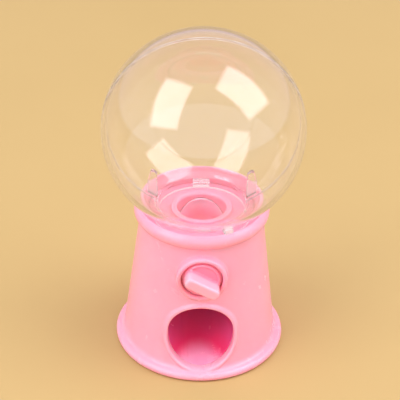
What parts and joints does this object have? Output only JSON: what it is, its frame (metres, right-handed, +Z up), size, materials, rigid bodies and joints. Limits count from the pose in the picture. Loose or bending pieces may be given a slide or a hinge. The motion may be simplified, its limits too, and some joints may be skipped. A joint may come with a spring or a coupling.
{
  "type": "gumball machine",
  "caption": "Table-top mini gumball machine: clear lift-off globe on a flared pink base, with a turning knob that rolls a scooped drum and a round mouth in front.",
  "frame": {"origin": "middle of the foot ring, on the surface that the machine stands on", "axes": "+Z up through the globe; -Y towards the front, where the knob and the mouth are; +X to the right seen from the front"},
  "size_m": [0.052, 0.052, 0.09],
  "materials": {
    "body_pink": "satin moulded pink plastic",
    "inner_pink": "satin moulded pink plastic",
    "cover_pink": "fine spark-eroded pink plastic",
    "knob_pink": "satin moulded pink plastic",
    "drum_pink": "satin moulded pink plastic",
    "clear_plastic": "clear polished polystyrene",
    "zinc_steel": "zinc plated"
  },
  "bodies": {
    "base": {"base_shell": "body_pink", "hopper": "inner_pink", "chute_tray": "inner_pink", "bottom_cover": "cover_pink", "cover_screws": "zinc_steel"},
    "dispenser": {"knob": "knob_pink", "spindle": "inner_pink", "drum": "drum_pink", "thrust_washer": "zinc_steel", "drum_screw": "zinc_steel"},
    "globe": {"globe_front": "clear_plastic", "globe_back": "clear_plastic"}
  },
  "joints": [
    {"name": "knob_turn", "type": "hinge", "parent": "base", "child": "dispenser", "pos_m": [0, -0.0181, 0.0299], "axis": [0, -1, 0], "continuous": true},
    {"name": "globe_lift", "type": "slide", "parent": "base", "child": "globe", "axis": [0, 0, 1], "range_m": [0, 0.03]}
  ]
}
